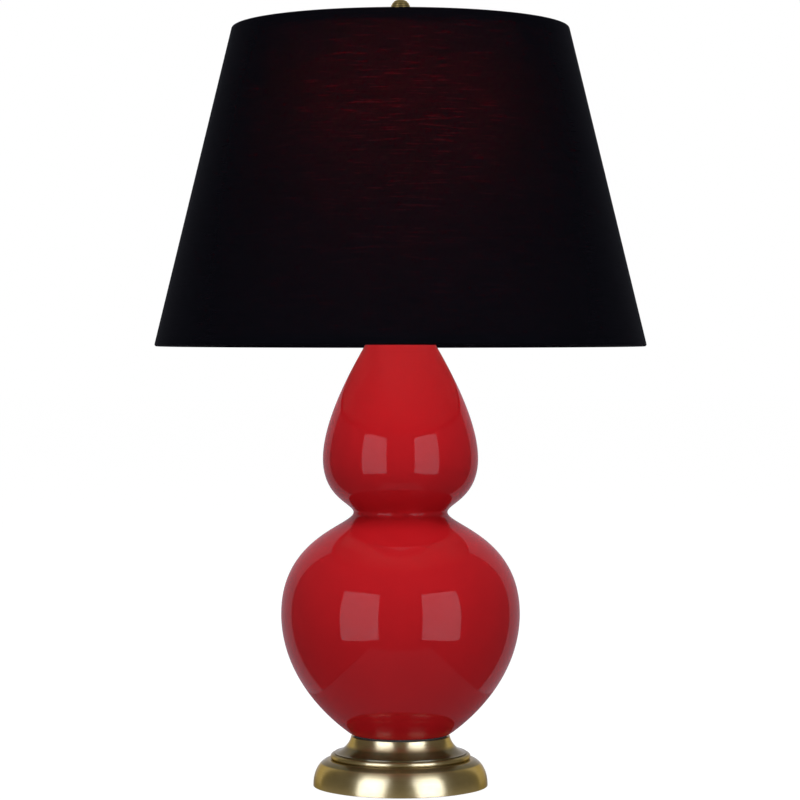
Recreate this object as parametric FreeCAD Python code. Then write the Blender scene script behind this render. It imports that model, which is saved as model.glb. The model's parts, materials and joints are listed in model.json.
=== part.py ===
"""Double gourd table lamp, in millimetres.

The origin is the centre of the underside, +Z is up and the front looks along -Y.
The lamp is a stack on one threaded pipe: felt and board, iron weight, spun brass base, glazed ceramic
gourd, brass cap, neck tube, harp saddle and lamp socket. The harp lifts out of its saddle once its two
sleeves are raised, the shade hangs by its spider on the harp's stud, and a finial screws down on it.
"""

import FreeCAD
import Part

import math
import os

V = FreeCAD.Vector
ORIGIN, UP, FRONT, RIGHT = V(0, 0, 0), V(0, 0, 1), V(0, -1, 0), V(1, 0, 0)

# Clearances
SNUG = 0.05  # between pieces of one body that fit inside each other
RUNNING = 0.3  # between pieces that move past each other
QUARTER = 0.5523  # handle of a cubic curve that draws a quarter ellipse, as a share of its half axis

# Felt, board and weight
FELT_PROUD = 1.0  # how far the felt stands below the brass rim
FELT_THICKNESS = 2.5
FELT_MARGIN = 3.0  # from the felt's edge to the brass
BOARD_THICKNESS = 2.0
WEIGHT_RADIUS = 64.0
WEIGHT_THICKNESS = 15.0
WEIGHT_BOSS_RADIUS = 28.0
WEIGHT_EDGE = 3.0  # chamfer of the casting
NUT_POCKET_RADIUS = 15.0
NUT_POCKET_DEPTH = 12.0
CORD_CHANNEL = 9.0  # width and depth of the groove for the cord under the weight

# Brass base, from the rim up
BASE_RADIUS = 86.4
BASE_WALL = 1.2
RIM_EDGE = 0.8
FLANGE_RUN = 16.4
FLANGE_RISE = 25.3
BEAD_INSET = 0.6  # of the bead's outside from the flange's upper edge
BEAD_RADIUS = 3.0
BEAD_SINK = 0.5  # how far the bead's underside lies in the flange
LEDGE_INSET = 3.8  # of the cove's foot from the bead's outside
LEDGE_HEIGHT = 1.0
COVE_HEIGHT = 15.9
COVE_HANDLE_TOP = 9.2
COVE_HANDLE_LOW = 6.2
COLLAR_RADIUS = 48.9
COLLAR_LEAN = 11.5  # degrees from upright where the cove meets the top
BASE_HOLE_CLEARANCE = 0.5

# Cord bushing at the back of the base
BUSHING_HEIGHT = 8.5  # of its axis above the brass rim
BUSHING_BORE = 3.0  # radius
BUSHING_BODY = 4.2  # radius
BUSHING_BARB = 0.3  # how far the barb stands out of the body
BUSHING_BARB_LENGTH = 2.0
BUSHING_FLANGE = 5.5  # radius
BUSHING_FLANGE_THICKNESS = 1.6
BUSHING_DEPTH = 7.0  # behind the wall

# Threaded pipe with its nuts and washer
PIPE_RADIUS = 4.9
PIPE_BORE = 3.2  # radius
NUT_FLATS = 16.0
NUT_THICKNESS = 4.5
WASHER_RADIUS = 9.0
WASHER_THICKNESS = 1.2
WASHER_TEETH = 10
WASHER_NOTCH = 1.1  # radius of the notch between two teeth
PIPE_END = 3.0  # beyond the lower nut

# Ceramic gourd: radii, heights above its foot, and each bend's own radius of curvature
GOURD_WALL = 6.0
FOOT_RADIUS = 48.5
FOOT_LEAN = 54.4  # degrees from upright
FOOT_ROUND = 2.0
FOOT_HOLE = 14.0
FOOT_HANDLE = 42.0  # how far the side runs on straight from the foot
BELLY_RADIUS = 118.25
BELLY_HEIGHT = 119.7
BELLY_BEND = 122.0
WAIST_RADIUS = 46.6
WAIST_HEIGHT = 220.0
WAIST_BEND = 3.5
BULB_RADIUS = 76.9
BULB_HEIGHT = 273.0
BULB_BEND = 76.0
NECK_RADIUS = 34.9
NECK_HEIGHT = 385.5
NECK_LEAN = 29.5  # degrees from upright
NECK_BELOW, NECK_ABOVE = 16.8, 9.0  # how far the side runs on straight either way from the neck
LIP_RADIUS = 23.5
LIP_RISE = 24.5  # above the neck
LIP_BELOW = 8.0
LIP_ROUND = 1.5

# Gaskets, cap and neck
GASKET_THICKNESS = 2.0
GASKET_INSET = 2.6  # from the foot's edge
NECK_GASKET_THICKNESS = 1.5
CAP_WALL = 1.0
CAP_SKIRT = 4.5  # how far it comes down over the lip
CAP_CLEARANCE = 1.4
CAP_DOME = 3.0
CAP_SWEEP = 4.0  # handle of the curve between the dome and the flat
NECK_TUBE_RADIUS = 8.0
NECK_TUBE_LENGTH = 33.3
NECK_TUBE_BEAD = 2.2
SADDLE_THICKNESS = 2.0
SADDLE_WIDTH = 12.7

# Harp
HARP_HEIGHT = 228.6  # from the saddle to the top of the seat
HARP_WIRE = 2.3  # radius
HARP_FOOT = 28.0  # from the axis to each leg
HARP_BELLY = 57.0  # from the axis at the widest
HARP_SHOULDER = 44.0  # from the axis where the sides turn in
HARP_CROWN = 19.8  # from the axis where the top bends down
HARP_STRAIGHT = 5.25  # straight leg above a sleeve
HARP_BELLY_RISE = 56.3  # above the straight leg
HARP_SHOULDER_DROP = 40.2  # below the top
HARP_TURNS = [24.0, 60.0, 90.0, 26.0]  # radii of the bends from a foot to the top
POST_HEIGHT = 8.0  # shoulder that the sleeve sits on, above the saddle
POST_RADIUS = 3.4
LAP_LENGTH = 9.0
LAP_GAP = 0.3
SLEEVE_LENGTH = 14.0
SLEEVE_RADIUS = 3.7
SLEEVE_LIP = 0.7  # how far the lip at its foot stands out
SLEEVE_LIP_HEIGHT = 1.5
SEAT_RADIUS = 8.0
SEAT_THICKNESS = 1.5
SEAT_CLIP_WALL = 0.8  # of the clip that holds the seat on the bow
SEAT_CLIP_LENGTH = 8.0
STUD_RADIUS = 3.1
STUD_HEIGHT = 12.0
STUD_CHAMFER = 0.8

# Socket
HUB_RADIUS = 7.0
HUB_HEIGHT = 10.0
SOCKET_WALL = 0.6
SOCKET_RADIUS = 16.8
SOCKET_DOME = 14.0
SOCKET_CAP_RIM = 7.0
SHELL_LENGTH = 48.0
SHELL_OVERLAP = 6.0  # of the shell in the cap
SHELL_BEAD = 1.2  # radius of the bead round the shell's mouth, along the shell
SHELL_BEAD_REACH = 1.0
SHAFT_WINDOW = 1.2  # room round the switch shaft in the shell
LINER_LIFT, LINER_DROP = 0.5, 1.0  # how far the liner stops short of the shell's two ends
LINER_WALL = 0.5
BODY_HEIGHT = 20.0
BODY_LIFT = 2.0  # of the switch body above the shell's lower edge
SCREW_SHELL_RADIUS = 14.0
SCREW_SHELL_WALL = 0.4
SCREW_SHELL_HEIGHT = 21.0
CONTACT_RADIUS = 4.0
CONTACT_THICKNESS = 1.2
SET_SCREW_RADIUS = 1.6
SET_SCREW_HEAD_RADIUS = 2.4
SET_SCREW_HEAD = 1.4
TERMINAL_RADIUS = 2.4
TERMINAL_HEAD = 1.6
TERMINAL_ROOM = 1.0  # from the head to the round of the body
TERMINAL_FLAT_HEIGHT = 12.0
TERMINAL_FLAT_WIDTH = 9.6
SLOT_WIDTH, SLOT_DEPTH = 0.7, 0.6  # of a screw head

# Switch
SHAFT_RADIUS = 1.8
SHAFT_DEPTH = 9.0  # in the switch body
SHAFT_HEIGHT = 10.0  # of its axis above the body's underside
KNOB_STANDOFF = 3.0  # from the shell
KNOB_HUB_RADIUS = 4.2
KNOB_HUB_LENGTH = 5.0
KEY_WIDTH = 13.0
KEY_LENGTH = 11.0
KEY_THICKNESS = 3.4
KEY_CORNER = 5.2
KNOB_BLIND = 1.0  # plastic beyond the shaft's end

# Light bulb
CAP_RADIUS = 13.1  # over the threads
THREAD_DEPTH = 0.6
THREAD_PITCH = 3.6
THREADS = 5
THREAD_START = 1.2  # plain metal below the first ridge
THREAD_EASE = 0.3  # handle of a ridge's curve, as a share of its pitch
CAP_SHEET = 0.5  # thickness of the cap's metal
CAP_LENGTH = 24.0
CAP_TIP = 4.0
TIP_RADIUS = 4.5
SOLDER_RADIUS = 2.7
SOLDER_HEIGHT = 1.5
GLASS_RADIUS = 34.0
GLASS_LENGTH = 106.0  # from the cap's rim to the top
GLASS_WALL = 0.8
GLASS_NECK = 14.2  # radius just above the cap
GLASS_NECK_RISE = 3.0
GLASS_EASE = 0.45  # handle of the side's curve, as a share of its height

# Shade
SHADE_TOP_RADIUS = 166.6
SHADE_BOTTOM_RADIUS = 243.2
SHADE_HEIGHT = 314.3
SPIDER_DROP = 12.0  # from the shade's upper edge to the spider's hub
FABRIC_THICKNESS = 0.6
LINER_THICKNESS = 1.0
HEM_LENGTH = 8.0  # of the fabric turned in over each ring
RING_WIRE = 1.3  # radius
LAYER_GAP = 0.1  # glue line between the shade's layers, and round its rings
SPIDER_WIRE = 1.6  # radius
SPIDER_ARMS = 3
SPIDER_BACK = 90.0  # degrees, the direction of the arm at the back
SPIDER_BEND = 26.0  # from the axis to the bend in each arm
SPIDER_BEND_RADIUS = 20.0
SPIDER_LAP = 3.0  # how far each arm reaches in over the hub
SPIDER_SEAT = 1.2  # how deep each arm is let into the hub
SPIDER_HUB_RADIUS = 12.0
SPIDER_HUB_THICKNESS = 2.0

# Finial
FINIAL_HEIGHT = 40.3
FINIAL_FOOT = 7.0
FINIAL_FOOT_BEAD = 2.4  # height of the bead round the foot
FINIAL_NECK = 4.4
FINIAL_KNOP = 6.2
FINIAL_BALL = 9.6
FINIAL_RINGS = 4
FINIAL_RINGS_START = 0.4  # above the middle of the ball
FINIAL_RING = 2.0  # height of each ring turned on the ball
FINIAL_RING_SWELL = 0.3
FINIAL_BORE_DEPTH = 13.5
FINIAL_BORE_CLEARANCE = 0.08

# Heights of the stack, each from the piece below it
rim_z = FELT_PROUD
board_z = FELT_THICKNESS
weight_z = board_z + BOARD_THICKNESS
flange_radius = BASE_RADIUS - FLANGE_RUN
bead_reach = flange_radius - BEAD_INSET
ledge_radius = bead_reach - LEDGE_INSET
flange_z = rim_z + RIM_EDGE
flange_top = flange_z + FLANGE_RISE
bead_z = flange_top - BEAD_SINK + BEAD_RADIUS
ledge_z = bead_z + BEAD_RADIUS + LEDGE_HEIGHT
base_top = ledge_z + COVE_HEIGHT
foot_z = base_top + GASKET_THICKNESS
lip_z = foot_z + NECK_HEIGHT + LIP_RISE
cap_z = lip_z + NECK_GASKET_THICKNESS
cap_top = cap_z + CAP_WALL + CAP_DOME
top_nut_z = cap_top + NECK_TUBE_LENGTH
saddle_z = top_nut_z + NUT_THICKNESS
hub_z = saddle_z + SADDLE_THICKNESS
washer_z = weight_z + NUT_POCKET_DEPTH - WASHER_THICKNESS
nut_z = washer_z - NUT_THICKNESS
pipe_z = nut_z - PIPE_END

socket_rim = hub_z + HUB_HEIGHT + SOCKET_DOME + SOCKET_CAP_RIM
shell_z = socket_rim - SHELL_OVERLAP
shell_top = shell_z + SHELL_LENGTH
shell_radius = SOCKET_RADIUS - SOCKET_WALL - SNUG
liner_radius = shell_radius - SOCKET_WALL - SNUG
body_radius = liner_radius - LINER_WALL - SNUG
body_z = shell_z + BODY_LIFT
body_top = body_z + BODY_HEIGHT
shaft_z = body_z + SHAFT_HEIGHT
contact_top = body_top + CONTACT_THICKNESS
pipe_top = hub_z + HUB_HEIGHT

bulb_z = contact_top + RUNNING
cap_rim = bulb_z + CAP_TIP + CAP_LENGTH
glass_z = cap_rim - CAP_LENGTH / 4
glass_top = cap_rim + GLASS_LENGTH

post_z = hub_z + POST_HEIGHT
seat_top = hub_z + HARP_HEIGHT
seat_z = seat_top - SEAT_THICKNESS
bow_z = seat_z - HARP_WIRE
hub_top = seat_top + RUNNING + SPIDER_HUB_THICKNESS
finial_z = hub_top + RUNNING
shade_top = hub_top + SPIDER_DROP
shade_z = shade_top - SHADE_HEIGHT


class Outline:
    """A closed outline of (radius, height) points beside the Z axis, which turns into a solid."""

    def __init__(self, radius, height):
        self.first = self.last = V(radius, 0, height)
        self.edges = []

    def line(self, radius, height):
        end = V(radius, 0, height)
        if end.distanceToPoint(self.last) > 1e-7:
            self.edges.append(Part.LineSegment(self.last, end).toShape())
        self.last = end
        return self

    def arc(self, through, end):
        mid, end = V(through[0], 0, through[1]), V(end[0], 0, end[1])
        self.edges.append(Part.Arc(self.last, mid, end).toShape())
        self.last = end
        return self

    def curve(self, out, back, end):
        """A cubic curve to end. out and back are its handles, as offsets from its two ends."""
        end = V(end[0], 0, end[1])
        curve = Part.BezierCurve()
        poles = [self.last, self.last + V(out[0], 0, out[1]), end + V(back[0], 0, back[1]), end]
        curve.setPoles(poles)
        self.edges.append(curve.toShape())
        self.last = end
        return self

    def quarter(self, end, upright_first):
        """A quarter ellipse to end, which starts upright or level."""
        run, rise = end[0] - self.last.x, end[1] - self.last.z
        if upright_first:
            return self.curve((0, QUARTER * rise), (-QUARTER * run, 0), end)
        return self.curve((QUARTER * run, 0), (0, -QUARTER * rise), end)

    def turned(self):
        self.line(self.first.x, self.first.z)
        return Part.Face(Part.Wire(self.edges)).revolve(ORIGIN, UP, 360)


def lean(angle, length):
    """The (radius, height) offset of a handle that leans outwards by angle from upright."""
    return length * math.sin(math.radians(angle)), length * math.cos(math.radians(angle))


def cylinder(radius, height, base=ORIGIN, along=UP):
    return Part.makeCylinder(radius, height, base, along)


def ring(outer, inner, low, high):
    """A plain round ring about the Z axis."""
    return cylinder(outer, high - low, V(0, 0, low)).cut(
        cylinder(inner, high - low, V(0, 0, low))
    )


def rounded_path(points, radii):
    """A wire of straight runs through points, whose corners are tangent arcs of the given radii."""
    edges, start = [], points[0]
    for corner, after, radius in zip(points[1:-1], points[2:], radii):
        into, out = (start - corner).normalize(), (after - corner).normalize()
        half = into.getAngle(out) / 2
        reach = radius / math.tan(half)
        bisector = (into + out).normalize()
        mid = corner + bisector * (radius / math.sin(half) - radius)
        a, b = corner + into * reach, corner + out * reach
        edges.append(Part.LineSegment(start, a).toShape())
        edges.append(Part.Arc(a, mid, b).toShape())
        start = b
    edges.append(Part.LineSegment(start, points[-1]).toShape())
    return Part.Wire(edges)


def tube(path, radius):
    """A round bar along a wire."""
    start = path.OrderedVertexes[0].Point
    direction = path.OrderedEdges[0].tangentAt(path.OrderedEdges[0].FirstParameter)
    section = Part.Wire(Part.makeCircle(radius, start, direction))
    return path.makePipeShell([section], True, False)


def hexagon(flats, height, low, bore):
    """A hexagonal nut about the Z axis, with its corners turned off."""
    corner = flats / 2 / math.cos(math.pi / 6)
    points = [V(corner, 0, low)]
    for k in range(6):
        turn = (k + 1) * math.pi / 3
        points.append(V(corner * math.cos(turn), corner * math.sin(turn), low))
    nut = Part.Face(Part.makePolygon(points)).extrude(V(0, 0, height))
    bevel = corner - flats / 2
    blank = (
        Outline(0, low)
        .line(flats / 2, low)
        .line(corner, low + bevel)
        .line(corner, low + height - bevel)
        .line(flats / 2, low + height)
        .line(0, low + height)
        .turned()
    )
    return nut.common(blank).cut(cylinder(bore, height, V(0, 0, low)))


# Base


def base_outline(inset):
    """The base's section from the rim to the top of the collar, moved inwards by inset."""
    radius = BASE_RADIUS - inset
    bead_centre = bead_reach - BEAD_RADIUS
    bead = BEAD_RADIUS - inset
    flat = flange_top - inset
    # Where the bead comes out of the flange
    notch = bead_centre + math.sqrt(BEAD_RADIUS**2 - (bead_z - flange_top) ** 2) - inset
    drop = math.sqrt(max(bead**2 - (notch - bead_centre) ** 2, 0))
    ledge = ledge_radius - inset
    slope = lean(COLLAR_LEAN, COVE_HANDLE_TOP)
    return (
        Outline(radius, rim_z)
        .line(radius, flange_z)
        .quarter((flange_radius, flat), upright_first=True)
        .line(notch, flat)
        .line(notch, bead_z - drop)
        .arc((bead_centre + bead, bead_z), (bead_centre, bead_z + bead))
        .line(ledge, bead_z + bead)
        .line(ledge, ledge_z - inset)
        .curve((-COVE_HANDLE_LOW, 0), (slope[0], -slope[1]), (COLLAR_RADIUS - inset, base_top - inset))
    )


def base_shell():
    outer = base_outline(0).line(0, base_top).line(0, rim_z).turned()
    inner = base_outline(BASE_WALL).line(0, base_top - BASE_WALL).line(0, rim_z).turned()
    shell = outer.cut(inner).cut(cylinder(PIPE_RADIUS + BASE_HOLE_CLEARANCE, base_top))
    return shell.cut(bushing_hole(BUSHING_BODY + SNUG))


def bushing_hole(radius):
    """A round bar through the back of the base, on the bushing's axis."""
    inside = BASE_RADIUS - BASE_WALL - BUSHING_DEPTH
    return cylinder(radius, BASE_RADIUS, V(0, inside, rim_z + BUSHING_HEIGHT), -FRONT)


def bushing_seat():
    """How far the bushing's flange stands from the axis: just outside the wall at its own edge."""
    rise = (BUSHING_HEIGHT - BUSHING_FLANGE - RIM_EDGE) / FLANGE_RISE
    return flange_radius + FLANGE_RUN * math.sqrt(1 - max(rise, 0) ** 2)


def cord_bushing():
    seat = bushing_seat()
    start = V(0, BASE_RADIUS - BASE_WALL - BUSHING_DEPTH, rim_z + BUSHING_HEIGHT)
    body = cylinder(BUSHING_BODY, seat - start.y, start, -FRONT)
    flange = cylinder(BUSHING_FLANGE, BUSHING_FLANGE_THICKNESS, V(0, seat, start.z), -FRONT)
    barb = Part.makeCone(BUSHING_BODY, BUSHING_BODY + BUSHING_BARB, BUSHING_BARB_LENGTH, start, -FRONT)
    length = seat + BUSHING_FLANGE_THICKNESS - start.y
    return body.fuse([flange, barb]).removeSplitter().cut(cylinder(BUSHING_BORE, length, start, -FRONT))


def felt_pad():
    return cylinder(BASE_RADIUS - BASE_WALL - FELT_MARGIN, FELT_THICKNESS)


def base_board():
    radius = BASE_RADIUS - BASE_WALL - RUNNING
    return cylinder(radius, BOARD_THICKNESS, V(0, 0, board_z))


def base_weight():
    top, boss_top = weight_z + WEIGHT_THICKNESS, base_top - BASE_WALL
    weight = (
        Outline(0, weight_z)
        .line(WEIGHT_RADIUS, weight_z)
        .line(WEIGHT_RADIUS, top - WEIGHT_EDGE)
        .line(WEIGHT_RADIUS - WEIGHT_EDGE, top)
        .line(WEIGHT_BOSS_RADIUS + WEIGHT_EDGE, top)
        .line(WEIGHT_BOSS_RADIUS, top + WEIGHT_EDGE)
        .line(WEIGHT_BOSS_RADIUS, boss_top)
        .line(0, boss_top)
        .turned()
    )
    pocket = cylinder(NUT_POCKET_RADIUS, NUT_POCKET_DEPTH, V(0, 0, weight_z))
    channel = Part.makeBox(
        CORD_CHANNEL, WEIGHT_RADIUS, CORD_CHANNEL, V(-CORD_CHANNEL / 2, 0, weight_z)
    )
    bore = cylinder(PIPE_RADIUS + SNUG, base_top)
    return weight.cut([pocket, channel, bore])


# Pipe, nuts and washer


def threaded_pipe():
    return ring(PIPE_RADIUS, PIPE_BORE, pipe_z, pipe_top)


def lock_washer():
    washer = ring(WASHER_RADIUS, PIPE_RADIUS + SNUG, washer_z, washer_z + WASHER_THICKNESS)
    notch = cylinder(WASHER_NOTCH, WASHER_THICKNESS, V(WASHER_RADIUS, 0, washer_z))
    notches = []
    for k in range(WASHER_TEETH):
        turned = notch.copy()
        turned.rotate(ORIGIN, UP, 360 * k / WASHER_TEETH)
        notches.append(turned)
    return washer.cut(notches)


def bottom_nut():
    return hexagon(NUT_FLATS, NUT_THICKNESS, nut_z, PIPE_RADIUS + SNUG)


def top_nut():
    return hexagon(NUT_FLATS, NUT_THICKNESS, top_nut_z, PIPE_RADIUS + SNUG)


# Gourd


def handle(across, bend):
    """The handle that gives a cubic curve, upright at this end, its radius of curvature there.

    across is how far the next handle's end lies to the side.
    """
    return math.sqrt(2 / 3 * across * bend)


def gourd_side(section, inset, downwards):
    """Draw the gourd's side between its foot and the straight of its lip, moved inwards by inset."""
    foot_run, foot_rise = lean(FOOT_LEAN, FOOT_HANDLE)
    neck_run, neck_rise = lean(NECK_LEAN, NECK_BELOW)
    next_run, next_rise = lean(NECK_LEAN, NECK_ABOVE)
    start_run, start_rise = lean(FOOT_LEAN, FOOT_ROUND)
    leaning = math.cos(math.radians(FOOT_LEAN)), math.sin(math.radians(FOOT_LEAN))
    foot = (FOOT_RADIUS + start_run - inset * leaning[0], foot_z + start_rise + inset * leaning[1])
    belly = (BELLY_RADIUS - inset, foot_z + BELLY_HEIGHT)
    waist = (WAIST_RADIUS - inset, foot_z + WAIST_HEIGHT)
    bulb = (BULB_RADIUS - inset, foot_z + BULB_HEIGHT)
    neck = (NECK_RADIUS - inset / math.cos(math.radians(NECK_LEAN)), foot_z + NECK_HEIGHT)
    lip = (LIP_RADIUS - inset, lip_z - LIP_ROUND)
    round_belly, round_bulb = BELLY_BEND - inset, BULB_BEND - inset
    round_waist = WAIST_BEND + inset
    below_belly = handle(belly[0] - foot[0] - foot_run, round_belly)
    above_belly = handle(belly[0] - waist[0], round_belly)
    below_waist = handle(belly[0] - waist[0], round_waist)
    above_waist = handle(bulb[0] - waist[0], round_waist)
    below_bulb = handle(bulb[0] - waist[0], round_bulb)
    above_bulb = handle(bulb[0] - neck[0] - neck_run, round_bulb)
    spans = [
        (foot, (foot_run, foot_rise), (0, -below_belly), belly),
        (belly, (0, above_belly), (0, -below_waist), waist),
        (waist, (0, above_waist), (0, -below_bulb), bulb),
        (bulb, (0, above_bulb), (neck_run, -neck_rise), neck),
        (neck, (-next_run, next_rise), (0, -LIP_BELOW), lip),
    ]
    if downwards:
        spans = [(end, back, out, start) for start, out, back, end in reversed(spans)]
    section.line(*spans[0][0])
    for _, out, back, end in spans:
        section.curve(out, back, end)
    return section


def gourd_body():
    run, rise = lean(FOOT_LEAN, FOOT_ROUND)
    section = Outline(FOOT_HOLE, foot_z).line(FOOT_RADIUS - FOOT_ROUND, foot_z)
    bend = FOOT_ROUND * QUARTER
    out, back = lean(FOOT_LEAN, bend)
    section.curve((bend, 0), (-out, -back), (FOOT_RADIUS + run, foot_z + rise))
    gourd_side(section, 0, downwards=False)
    section.quarter((LIP_RADIUS - LIP_ROUND, lip_z), upright_first=True)
    section.line(LIP_RADIUS - GOURD_WALL, lip_z)
    gourd_side(section, GOURD_WALL, downwards=True)
    section.line(FOOT_HOLE, section.last.z)
    return section.turned()


def foot_gasket():
    return ring(FOOT_RADIUS - GASKET_INSET, FOOT_HOLE, base_top, foot_z)


def neck_gasket():
    return ring(LIP_RADIUS - LIP_ROUND, LIP_RADIUS - GOURD_WALL, lip_z, cap_z)


def vase_cap():
    inner = LIP_RADIUS + CAP_CLEARANCE
    outer = inner + CAP_WALL
    rest = LIP_RADIUS - LIP_ROUND  # the flat that lies on the gasket ends here
    return (
        Outline(PIPE_RADIUS + SNUG, cap_z + CAP_DOME)
        .line(NECK_TUBE_RADIUS, cap_z + CAP_DOME)
        .curve((CAP_SWEEP, 0), (-CAP_SWEEP, 0), (LIP_RADIUS - GOURD_WALL, cap_z))
        .line(rest, cap_z)
        .quarter((inner, cap_z - (inner - rest)), upright_first=False)
        .line(inner, lip_z - CAP_SKIRT)
        .line(outer, lip_z - CAP_SKIRT)
        .line(outer, cap_z - (inner - rest))
        .quarter((rest, cap_z + CAP_WALL), upright_first=True)
        .line(LIP_RADIUS - GOURD_WALL, cap_z + CAP_WALL)
        .curve((-CAP_SWEEP, 0), (CAP_SWEEP, 0), (NECK_TUBE_RADIUS, cap_top))
        .line(PIPE_RADIUS + SNUG, cap_top)
        .turned()
    )


def neck_tube():
    """A turned brass tube with a bead at each end."""
    inner, step = PIPE_RADIUS + SNUG, 2 * NECK_TUBE_BEAD
    waist, reach = NECK_TUBE_RADIUS - NECK_TUBE_BEAD, NECK_TUBE_RADIUS
    low, high = cap_top, top_nut_z
    return (
        Outline(inner, low)
        .line(waist, low)
        .arc((reach, low + step / 2), (waist, low + step))
        .line(waist, high - step)
        .arc((reach, high - step / 2), (waist, high))
        .line(inner, high)
        .turned()
    )


# Harp


def post(side):
    """One upturned end of the saddle: a shoulder, then the outer half of a lapped rod."""
    x = side * HARP_FOOT
    shoulder = cylinder(POST_RADIUS, post_z - saddle_z, V(x, 0, saddle_z))
    rod = cylinder(HARP_WIRE, LAP_LENGTH, V(x, 0, post_z))
    return shoulder.fuse(rod.cut(half_leg(side, -side)))


def half_leg(side, away):
    """A block over the half of a leg that lies on one side of its middle, and half the gap beyond."""
    start = side * HARP_FOOT - away * LAP_GAP / 2
    far = start + away * 2 * POST_RADIUS
    low = V(min(start, far), -POST_RADIUS, post_z)
    return Part.makeBox(abs(far - start), 2 * POST_RADIUS, LAP_LENGTH + LAP_GAP, low)


def harp_saddle():
    half = SADDLE_WIDTH / 2
    strap = Part.makeBox(2 * HARP_FOOT, SADDLE_WIDTH, SADDLE_THICKNESS, V(-HARP_FOOT, -half, saddle_z))
    ends = [cylinder(half, SADDLE_THICKNESS, V(side * HARP_FOOT, 0, saddle_z)) for side in (-1, 1)]
    saddle = strap.fuse([*ends, post(-1), post(1)]).removeSplitter()
    return saddle.cut(cylinder(PIPE_RADIUS + SNUG, SADDLE_THICKNESS, V(0, 0, saddle_z)))


def harp_bow():
    """The round bow, from its upright feet out to the belly and in again to the seat."""
    foot = post_z + LAP_LENGTH + SLEEVE_LENGTH + HARP_STRAIGHT
    half = [
        V(-HARP_FOOT, 0, post_z + LAP_GAP),
        V(-HARP_FOOT, 0, foot),
        V(-HARP_BELLY, 0, foot + HARP_BELLY_RISE),
        V(-HARP_SHOULDER, 0, bow_z - HARP_SHOULDER_DROP),
        V(-HARP_CROWN, 0, bow_z),
    ]
    other = [V(-p.x, 0, p.z) for p in reversed(half)]
    bow = tube(rounded_path(half + other, HARP_TURNS + HARP_TURNS[::-1]), HARP_WIRE)
    return bow.cut([half_leg(side, side) for side in (-1, 1)])


def harp_seat():
    """The disc that the shade's spider sits on, with the finial's stud and a clip round the bow."""
    disc = cylinder(SEAT_RADIUS, SEAT_THICKNESS, V(0, 0, seat_z))
    stud = cylinder(STUD_RADIUS, STUD_HEIGHT - STUD_CHAMFER, V(0, 0, seat_top))
    tip_z = seat_top + STUD_HEIGHT - STUD_CHAMFER
    tip = Part.makeCone(STUD_RADIUS, STUD_RADIUS - STUD_CHAMFER, STUD_CHAMFER, V(0, 0, tip_z))
    reach = HARP_WIRE + SEAT_CLIP_WALL
    low = V(-SEAT_CLIP_LENGTH / 2, -reach, bow_z - reach)
    clip = Part.makeBox(SEAT_CLIP_LENGTH, 2 * reach, seat_z - low.z, low)
    wire = cylinder(HARP_WIRE + SNUG, SEAT_CLIP_LENGTH, V(low.x, 0, bow_z), RIGHT)
    return disc.fuse([stud, tip, clip.cut(wire)]).removeSplitter()


def sleeve(side):
    x, low = side * HARP_FOOT, post_z + RUNNING
    body = cylinder(SLEEVE_RADIUS, SLEEVE_LENGTH, V(x, 0, low))
    lip = cylinder(SLEEVE_RADIUS + SLEEVE_LIP, SLEEVE_LIP_HEIGHT, V(x, 0, low))
    bore = cylinder(HARP_WIRE + RUNNING, SLEEVE_LENGTH, V(x, 0, low))
    return body.fuse(lip).removeSplitter().cut(bore)


# Socket


def socket_cap():
    low, wall = hub_z, SOCKET_WALL
    dome_z, dome_top = hub_z + HUB_HEIGHT, hub_z + HUB_HEIGHT + SOCKET_DOME
    cap = (
        Outline(PIPE_RADIUS + SNUG, low)
        .line(HUB_RADIUS, low)
        .line(HUB_RADIUS, dome_z)
        .quarter((SOCKET_RADIUS, dome_top), upright_first=False)
        .line(SOCKET_RADIUS, socket_rim)
        .line(SOCKET_RADIUS - wall, socket_rim)
        .line(SOCKET_RADIUS - wall, dome_top)
        .curve((0, -QUARTER * SOCKET_DOME), (2, 0), (PIPE_RADIUS + SNUG, dome_z + wall))
        .turned()
    )
    return cap.cut(set_screw_hole(SET_SCREW_RADIUS + SNUG))


def set_screw_hole(radius):
    return cylinder(radius, HUB_RADIUS, V(0, PIPE_RADIUS, hub_z + HUB_HEIGHT / 2), -FRONT)


def screw_slot(middle, along, across):
    """A block that cuts a slot, SLOT_DEPTH deep, into a screw head whose outer face is centred on middle."""
    half = V(abs(along.x), abs(along.y), 0) * SLOT_DEPTH + V(abs(along.y), abs(along.x), 0) * across
    half = half + UP * (SLOT_WIDTH / 2)
    return Part.makeBox(2 * half.x, 2 * half.y, 2 * half.z, middle - half)


def set_screw():
    start = V(0, PIPE_RADIUS + 2 * SNUG, hub_z + HUB_HEIGHT / 2)
    head_start = V(0, HUB_RADIUS + SNUG, start.z)
    head_end = head_start - FRONT * SET_SCREW_HEAD
    shank = cylinder(SET_SCREW_RADIUS, head_end.y - start.y, start, -FRONT)
    head = cylinder(SET_SCREW_HEAD_RADIUS, SET_SCREW_HEAD, head_start, -FRONT)
    return shank.fuse(head).removeSplitter().cut(screw_slot(head_end, FRONT, SET_SCREW_HEAD_RADIUS))


def switch_window(radius, reach):
    """A round bar through the front of the socket, on the switch shaft's axis."""
    return cylinder(radius, reach, V(0, 0, shaft_z), FRONT)


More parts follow.
